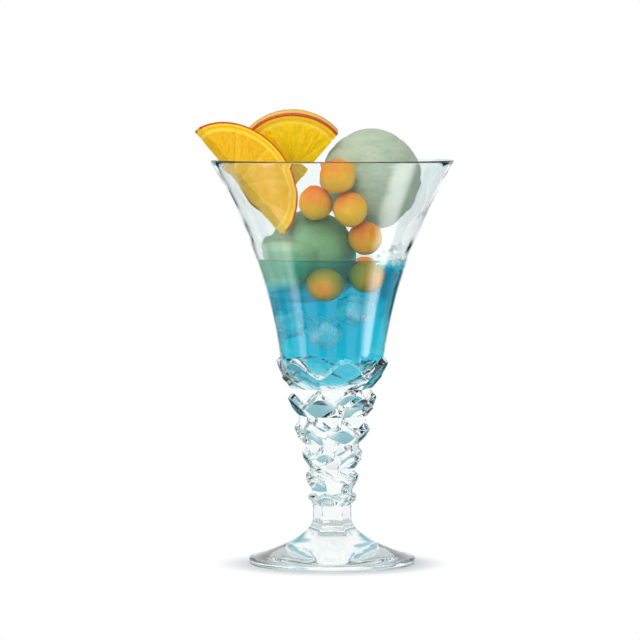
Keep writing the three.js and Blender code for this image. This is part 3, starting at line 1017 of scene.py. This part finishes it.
def front_slice_turn():
    """The front slice's cut edge runs down into the bowl, and the slice leans back about it."""
    upright = upright_slice(FRONT_SLOPE)
    return Matrix.Rotation(-FRONT_LEAN, 3, upright.col[0]) @ upright


def back_slice_turn():
    """The back slice's cut edge faces down to the right, and the slice leans to the front."""
    return Matrix.Rotation(BACK_LEAN, 3, "X") @ upright_slice(-BACK_SLOPE)


def seat_on(node, turn, verts):
    """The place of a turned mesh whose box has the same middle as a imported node."""
    turned = [turn @ Vector(vert) for vert in verts]
    middle = Vector((min(v[i] for v in turned) + max(v[i] for v in turned)) / 2 for i in range(3))
    low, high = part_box(node)
    return Matrix.Translation((low + high) / 2 - middle) @ turn.to_4x4()


def peel_section(radius, serving):
    """The outline of the peel's cross-section, as distances from the middle and from the back face."""
    depth, inner = serving.slice_thickness, radius - serving.peel_thickness
    edge = radius - PEEL_ROUND
    section = [(blend(inner, edge, i / FACE_STEPS), 0) for i in range(FACE_STEPS)]
    section += arc((edge, PEEL_ROUND), PEEL_ROUND, -90, 0)
    upright = (blend(PEEL_ROUND, depth - PEEL_ROUND, i / RIND_STEPS) for i in range(1, RIND_STEPS))
    section += [(radius, height) for height in upright]
    section += arc((edge, depth - PEEL_ROUND), PEEL_ROUND, 0, 90)
    section += [(blend(edge, inner, i / FACE_STEPS), depth) for i in range(1, FACE_STEPS + 1)]
    return section


def peel_mesh(radius, cut, serving):
    """Peel with its pith: a cross-section swept round from one end of the straight cut to the other."""
    section = peel_section(radius, serving)
    verts, faces = [], []
    count = len(section)
    for step in range(PEEL_STEPS + 1):
        for off, height in section:
            past = math.asin(cut / off)
            turn = blend(-past, math.pi + past, step / PEEL_STEPS)
            pores = PEEL_PORES * noise.noise(polar(off, turn, height) * PORE_SCALE)
            rind = smooth(radius - PEEL_ROUND, radius, off)
            verts.append(polar(off - rind * abs(pores), turn, height))
    for step in range(PEEL_STEPS):
        for i in range(count):
            a, b = step * count + i, step * count + (i + 1) % count
            faces.append((a, a + count, b + count, b))
    faces.append(range(count))
    faces.append(range(len(verts) - 1, len(verts) - 1 - count, -1))
    return verts, faces


def pulp_relief(x, y, radius):
    """How far the flesh stands out: domed segments of grainy pulp between sunken skins."""
    off, turn = math.hypot(x, y), math.atan2(y, x)
    place = (turn / SEGMENT_PITCH + SEGMENT_START) % 1
    skin = min(place, 1 - place) * SEGMENT_PITCH * off
    dome = smooth(0, DOME_EDGE, min(skin, radius - off)) * smooth(0, 2 * CORE, off)
    grain = noise.noise(Vector((off / GRAIN_LENGTH, turn * CELLS_PER_RADIAN, 0)))
    return PULP_DOME * (dome - 1) + PULP_GRAIN * grain * dome


def flesh_mesh(radius, cut, serving):
    """Flesh of a slice, with both of its faces in relief."""
    depth = serving.slice_thickness
    stride = FLESH_ROWS + 1
    half = math.sqrt(radius ** 2 - min(0, cut) ** 2)
    front = []
    for column in range(FLESH_COLUMNS + 1):
        x = -half * math.cos(math.pi * column / FLESH_COLUMNS)
        high = math.sqrt(max(0, radius ** 2 - x ** 2))
        low = -min(cut, high)
        for row in range(stride):
            y = blend(low, high, row / FLESH_ROWS)
            front.append(Vector((x, y, depth + pulp_relief(x, y, radius))))
    back = [Vector((v.x, v.y, depth - v.z)) for v in front]
    faces = []
    shift = len(front)
    for column in range(FLESH_COLUMNS):
        start = column * stride
        for row in range(FLESH_ROWS):
            a, b = start + row, start + stride + row
            faces.append((a, b, b + 1, a + 1))
            faces.append((a + shift + 1, b + shift + 1, b + shift, a + shift))
        bottom, top = (start, start + stride), (start + FLESH_ROWS, start + stride + FLESH_ROWS)
        faces.append((bottom[0] + shift, bottom[1] + shift, bottom[1], bottom[0]))
        faces.append((top[0], top[1], top[1] + shift, top[0] + shift))
    return front + back, faces


def peel_finish(colours, thickness):
    """Pored peel over yellow pith. Red zest shows on the cut faces, and red bands of painted shade run along
    the corners of its outside.
    """
    tree = new_finish("Orange peel")
    where = tree.place()
    _, _, z = tree.parts(where)
    pores = 1 - tree.step(tree.cells(where, 850), *PIT_EDGE)
    patches = tree.noise(where, 130, 3)
    threads = tree.noise(where * (1, 1, 0.4), 900, 3)
    to_face = tree.math("MINIMUM", z, thickness - z)
    below = tree.depth() + 0.3 * MM * (patches - 0.5)
    pith = tree.step(below, 0.7 * ZEST, 1.4 * ZEST)
    # Painted shade: red bands along the corners of the outside of the peel, beside the real zest on its cut
    # faces.
    edge = 1 - tree.step(to_face, 0.5 * ZEST, 1.8 * ZEST)
    # The outside is painted pale, a painted highlight for light from above on the orange peel.
    outside = tree.mix(0.9 * edge + 0.15 * pores, colours.peel, colours.zest)
    surface = tree.principled(
        Base_Color=tree.mix(pith, outside, tree.mix(0.4 * threads, colours.pith, colours.skin)),
        Roughness=0.4 + 0.2 * pith + 0.15 * pores,
        Specular_IOR_Level=0.3,
        Coat_Weight=0.1 - 0.1 * pith,
        Coat_Roughness=0.25,
        Normal=tree.bump((threads - pores) * (1 - 0.6 * pith), 0.25 * MM),
    )
    return tree.show(Surface=surface)


def pulp_finish(name, pulp, colours):
    """Juicy segments of long pulp cells, with a pale skin round them below a yellow edge."""
    tree = new_finish(name)
    x, y, z = tree.parts(tree.place())
    off = tree.math("SQRT", x * x + y * y)
    turn = tree.math("ARCTAN2", y, x)
    place = tree.math("FRACT", turn / SEGMENT_PITCH + (SEGMENT_START + SEGMENTS))
    skin = tree.math("MINIMUM", place, 1 - place) * SEGMENT_PITCH * off
    skins = 1 - tree.step(skin, 0.6 * MEMBRANE, 2 * MEMBRANE)
    core = 1 - tree.step(off, 0.7 * CORE, 1.3 * CORE)
    uneven = tree.noise(tree.place(), 300, 2) - 0.5
    below = tree.depth() + 1.2 * MM * uneven
    inside = tree.step(below, SKIN_FROM, SKIN_TO)
    lining = inside * (1 - tree.step(below, SKIN_TO, SKIN_TO + 1.4 * MM))
    pale = tree.either(tree.either(0.3 * skins * inside, 0.5 * core), lining)
    long_cells = {"X": off / CELL_LENGTH, "Y": turn * CELLS_PER_RADIAN, "Z": z / CELL_LENGTH}
    stretched = tree.node("ShaderNodeCombineXYZ", None, long_cells)
    cells = tree.cells(stretched, 1.0, "DISTANCE_TO_EDGE")
    walls = (1 - tree.step(cells, 0.0, 0.14)) * inside
    streaks = tree.step(tree.noise(stretched, 1.3, 3), 0.35, 0.75) * inside
    juicy = tree.mix(0.12 * walls, tree.mix(0.4 * streaks, pulp, colours.pulp_deep), colours.skin)
    flesh = tree.mix(inside, colours.pith, juicy)
    surface = tree.principled(
        Base_Color=tree.mix(0.75 * pale, flesh, colours.skin),
        Roughness=0.3 + 0.15 * walls + 0.2 * pale,
        Specular_IOR_Level=0.15,
        Subsurface_Weight=0.2,
        Subsurface_Radius=(1.0, 0.6, 0.1),
        Subsurface_Scale=SOFT_DEPTH,
        Coat_Weight=0.06,
        Coat_Roughness=0.1,
        Normal=tree.bump(tree.step(cells, 0.0, 0.3) * inside - 0.6 * pale, 0.12 * MM),
    )
    return tree.show(Surface=surface)


def welded(verts, faces):
    """Joins points that fall together, and drops the faces that this leaves without an area."""
    joined = bmesh.new()
    made = [joined.verts.new(vert) for vert in verts]
    for face in faces:
        joined.faces.new([made[i] for i in face])
    bmesh.ops.remove_doubles(joined, verts=joined.verts[:], dist=WELD)
    return points_and_faces(joined)


def mark_depth(piece, verts, radius):
    """Keeps with each point how far it is below the skin of the fruit."""
    depths = piece.data.attributes.new(SKIN_DEPTH, "FLOAT", "POINT")
    depths.data.foreach_set("value", [radius - vert.xy.length for vert in verts])


def build_slices(serving, colours):
    rind = peel_finish(colours, serving.slice_thickness)
    slices = (
        ("orange_front", serving.front_slice, FRONT_CUT, front_slice_turn(), colours.front_pulp),
        ("orange_back", serving.back_slice, BACK_CUT, back_slice_turn(), colours.back_pulp),
    )
    for body, radius, cut, turn, pulp in slices:
        peel, flesh = f"{body}_peel", f"{body}_flesh"
        verts, faces = peel_mesh(radius, cut, serving)
        place = seat_on(peel, turn, verts)
        piece = piece_of(f"{body}_rind", verts, faces, rind, body, (peel,), CREASE, place)
        mark_depth(piece, verts, radius)
        verts, faces = welded(*flesh_mesh(radius - serving.peel_thickness, cut, serving))
        juicy = pulp_finish(flesh, pulp, colours)
        piece = piece_of(
            f"{body}_pulp", verts, faces, juicy, body, (flesh,), FLESH_CREASE, place)
        mark_depth(piece, verts, radius)


# Stage

CAMERA_DISTANCE = 1.97
CAMERA_HEIGHT = 0.221
CAMERA_LENS = 240.0
AIM = Vector((-0.00565, 0, 0.113))
FLOOR_DROP = 0.2 * MM
FLOOR_RADIUS = 4.0
FLOOR_STEPS = 8
FLOOR_SHADOW_FADE = (0.036, 0.056)
AMBIENT = 0.52
DARK_SIDES = math.radians(28)
SIDE_FADE = (math.radians(6), math.radians(16))
SIDE_DARK = 0.5
SKY_DARK = 0.8
SKY_FROM = (0.12, 0.22)
SKY_TO = (0.42, 0.52)
COOL_DARK = (0.05, 0.38, 0.46)
SKY_BANDS = 6
BAND_FADE = (-0.4, 0.2)
# Radii of two rings on the floor. The table shows only in reflections, and the edges only through glass.
TABLE = (0.13, 0.8)
TABLE_SHADE = 0.5
EDGES = (0.2, 0.5)
EDGE_CARDS = 8
EDGE_COLOUR = (0.2, 0.28, 0.32)
Lamp = namedtuple("Lamp", "name place aim size radiance")
LAMPS = (
    Lamp("overhead_softbox", (-0.25, -0.35, 1.1), (0, 0, 0.1), (0.7, 0.7), 3.2),
    Lamp("front_softbox", (-0.35, -1.5, 0.75), (0, 0, 0.13), (0.6, 0.6), 7.0),
    Lamp("left_softbox", (-1.1, -0.7, 0.55), (0, 0, 0.13), (0.35, 0.8), 2.6),
    Lamp("right_softbox", (1.1, -0.55, 0.5), (0, 0, 0.13), (0.35, 0.8), 2.2),
)
Sheen = namedtuple("Sheen", "name near far near_width far_width radiance fade_in")
SHEENS = (
    Sheen("left_sheen", (-0.185, -0.04), (-0.36, -0.17), 0.1, 0.2, 4.0, 0.4),
    Sheen("right_sheen", (0.185, -0.035), (0.44, -0.105), 0.19, 0.25, 7.0, 0.1),
)
SHEEN_SIDES = (0.2, 1)
SHEEN_END = (0.7, 1)
CARD_LIFT = 0.5 * MM
RAYS = ("camera", "diffuse", "glossy", "transmission", "volume_scatter", "shadow")


def floor_finish(colours):
    """A floor painted grey near the glass as a painted shadow round the foot, under its cast shadow, which
    fades into white away from the glass.
    """
    tree = new_finish("Floor")
    where = tree.node("ShaderNodeTexCoord", None, None, "Object")
    x, y, _ = tree.parts(where)
    off = tree.math("SQRT", x * x + y * y)
    mottle = tree.noise(where, 12, 2)
    # The grey floor colour near the glass is a painted shadow round the foot.
    matte = tree.principled(Base_Color=colours.floor, Roughness=0.75 + 0.1 * mottle)
    white = tree.node("ShaderNodeEmission", None, {"Color": WHITE, "Strength": 1.0})
    fade = tree.step(off, *FLOOR_SHADOW_FADE) * tree.seen_by("Camera", "Glossy", "Transmission")
    return tree.show(Surface=tree.mix_surfaces(fade, matte, white))


def build_floor(colours):
    """A round floor, wide enough that its edge is out of view."""
    profile = [(FLOOR_RADIUS * step / FLOOR_STEPS, -FLOOR_DROP) for step in range(FLOOR_STEPS, -1, -1)]
    verts, faces = ring_skin(round_rings(profile))
    object_of("floor", verts, verts, faces, floor_finish(colours))


def patches_round(tree, x, y, count):
    """1 in a number of patches round the axis and 0 between them."""
    wave = tree.math("COSINE", tree.math("ARCTAN2", y, x) * count)
    return tree.step(wave, *BAND_FADE)


def build_world():
    """White to the camera, and dimmer as light on the pieces. Glass also sees cool dark sides and a broken
    cool band in the sky, which draw its edges and facets."""
    world = bpy.data.worlds.new("Studio")
    bpy.context.scene.world = world
    tree = Finish(world)
    x, y, z = tree.parts(tree.node("ShaderNodeTexCoord", None, None, "Generated"))
    sides = 1 - tree.step(abs(tree.math("ARCTAN2", abs(y), abs(x)) - DARK_SIDES), *SIDE_FADE)
    band = tree.step(z, *SKY_FROM) * (1 - tree.step(z, *SKY_TO))
    sky = band * patches_round(tree, x, y, SKY_BANDS)
    in_glass = tree.seen_by("Glossy", "Transmission")
    seen = tree.either(in_glass, tree.seen_by("Camera"))
    dark = tree.either(SIDE_DARK * sides, SKY_DARK * sky) * in_glass
    inputs = {"Color": tree.mix(dark, WHITE, COOL_DARK), "Strength": blend(AMBIENT, 1, seen)}
    tree.show(Surface=tree.node("ShaderNodeBackground", None, inputs))


def build_lamp(lamp):
    data = bpy.data.lights.new(lamp.name, "AREA")
    data.shape = "RECTANGLE"
    data.size, data.size_y = lamp.size
    data.energy = lamp.radiance * math.pi * data.size * data.size_y
    made = bpy.data.objects.new(lamp.name, data)
    way = Vector(lamp.aim) - Vector(lamp.place)
    made.location = lamp.place
    made.rotation_euler = way.to_track_quat("-Z", "Y").to_euler()
    made.visible_camera = False
    made.visible_transmission = False
    bpy.context.scene.collection.objects.link(made)


def build_card(name, points, own, faces, glow, seen_by):
    """A card on the floor that one kind of ray sees. Its glow is worked out in its own frame."""
    tree = new_finish(name)
    colour, strength = glow(tree, *tree.parts(tree.place()))
    tree.show(Surface=tree.node("ShaderNodeEmission", None, {"Color": colour, "Strength": strength}))
    card = object_of(name, points, own, faces, tree.owner)
    for kind in RAYS:
        setattr(card, f"visible_{kind}", kind == seen_by)


def build_sheen(sheen):
    """A bright card beside the glass, which fades towards its sides and ends."""
    def glow(tree, across, along, _):
        sides = 1 - tree.step(abs(across), *SHEEN_SIDES)
        ends = tree.step(along, 0, sheen.fade_in) * (1 - tree.step(along, *SHEEN_END))
        return sides * ends, sheen.radiance

    near, far = Vector(sheen.near), Vector(sheen.far)
    side = (far - near).orthogonal().normalized() / 2
    own = [Vector((across, along, 0)) for along in (0, 1) for across in (-1, 1)]
    points = []
    for across, along, _ in own:
        flat = blend(near, far, along) + side * across * blend(sheen.near_width, sheen.far_width, along)
        points.append((flat.x, flat.y, 2 * CARD_LIFT))
    build_card(sheen.name, points, own, [(0, 1, 3, 2)], glow, "glossy")


def build_dark_rings():
    """A cool dark ring that reflections see, and one of dark cards that draws the edges of the glass."""
    def table(*_):
        return COOL_DARK, TABLE_SHADE

    def edges(tree, x, y, _):
        return tree.mix(patches_round(tree, x, y, EDGE_CARDS), EDGE_COLOUR, WHITE), 1.0

    rings = (("table", TABLE, table, "glossy"), ("edges", EDGES, edges, "transmission"))
    for name, reach, glow, seen_by in rings:
        points, faces = ring_skin(round_rings([(radius, CARD_LIFT) for radius in reversed(reach)]))
        build_card(name, points, points, faces, glow, seen_by)


def build_camera():
    data = bpy.data.cameras.new("camera")
    data.lens = CAMERA_LENS
    camera = bpy.data.objects.new("camera", data)
    camera.location = (AIM.x, -CAMERA_DISTANCE, CAMERA_HEIGHT)
    camera.rotation_euler = (AIM - camera.location).to_track_quat("-Z", "Y").to_euler()
    bpy.context.scene.collection.objects.link(camera)
    bpy.context.scene.camera = camera


def build_stage(colours):
    build_floor(colours)
    build_world()
    for lamp in LAMPS:
        build_lamp(lamp)
    for sheen in SHEENS:
        build_sheen(sheen)
    build_dark_rings()
    build_camera()
    bpy.context.scene.view_settings.view_transform = "Standard"


# Operators

class SERVING_OT_glass(bpy.types.Operator):
    """Model the foot, stem and bowl as one piece of pressed glass"""
    bl_idname = "serving.glass"
    bl_label = "Pressed Glass"

    def execute(self, context):
        build_glass(context.scene.glass_sizes, context.scene.serving_colours)
        return {"FINISHED"}


class SERVING_OT_drink(bpy.types.Operator):
    """Fill the bowl with the blue drink and its bubbles"""
    bl_idname = "serving.drink"
    bl_label = "Blue Drink"

    def execute(self, context):
        scene = context.scene
        build_drink(scene.glass_sizes, scene.serving_sizes, scene.serving_colours)
        build_bubbles(scene.glass_sizes, scene.serving_sizes, scene.serving_colours)
        return {"FINISHED"}


class SERVING_OT_ice(bpy.types.Operator):
    """Put the ice cubes in the drink"""
    bl_idname = "serving.ice"
    bl_label = "Ice"

    def execute(self, context):
        scene = context.scene
        build_ice(scene.glass_sizes, scene.serving_sizes, scene.serving_colours)
        return {"FINISHED"}


class SERVING_OT_scoops(bpy.types.Operator):
    """Model the two scoops of mint ice cream"""
    bl_idname = "serving.scoops"
    bl_label = "Mint Scoops"

    def execute(self, context):
        scene = context.scene
        build_scoops(scene.glass_sizes, scene.serving_sizes, scene.serving_colours)
        return {"FINISHED"}


class SERVING_OT_melon(bpy.types.Operator):
    """Model the melon balls"""
    bl_idname = "serving.melon"
    bl_label = "Melon Balls"

    def execute(self, context):
        build_melon(context.scene.serving_colours)
        return {"FINISHED"}


class SERVING_OT_slices(bpy.types.Operator):
    """Model the two slices of orange"""
    bl_idname = "serving.slices"
    bl_label = "Orange Slices"

    def execute(self, context):
        build_slices(context.scene.serving_sizes, context.scene.serving_colours)
        return {"FINISHED"}


class SERVING_OT_stage(bpy.types.Operator):
    """Set up the floor, the lights and the camera"""
    bl_idname = "serving.stage"
    bl_label = "Stage"

    def execute(self, context):
        build_stage(context.scene.serving_colours)
        return {"FINISHED"}


OPERATORS = (
    SERVING_OT_glass,
    SERVING_OT_drink,
    SERVING_OT_ice,
    SERVING_OT_scoops,
    SERVING_OT_melon,
    SERVING_OT_slices,
    SERVING_OT_stage,
)


class SERVING_PT_panel(bpy.types.Panel):
    """Lists the pieces of the glass"""
    bl_idname = "SERVING_PT_panel"
    bl_label = "Ice Cream Glass"
    bl_space_type = "VIEW_3D"
    bl_region_type = "UI"
    bl_category = "Ice Cream Glass"

    def draw(self, context):
        for operator in OPERATORS:
            self.layout.operator(operator.bl_idname)
        for settings in SETTINGS:
            group = getattr(context.scene, settings)
            box = self.layout.box()
            for name in group.bl_rna.properties.keys():
                if name not in ("rna_type", "name"):
                    box.prop(group, name)


SETTINGS = {"glass_sizes": GlassSizes, "serving_sizes": ServingSizes, "serving_colours": Colours}
CLASSES = (*SETTINGS.values(), *OPERATORS, SERVING_PT_panel)


def register():
    for kind in CLASSES:
        bpy.utils.register_class(kind)
    for name, kind in SETTINGS.items():
        setattr(bpy.types.Scene, name, PointerProperty(type=kind))


def unregister():
    for name in SETTINGS:
        delattr(bpy.types.Scene, name)
    for kind in reversed(CLASSES):
        bpy.utils.unregister_class(kind)


def main():
    register()
    for operator in OPERATORS:
        group, name = operator.bl_idname.split(".")
        getattr(getattr(bpy.ops, group), name)()


if __name__ == "__main__":
    main()
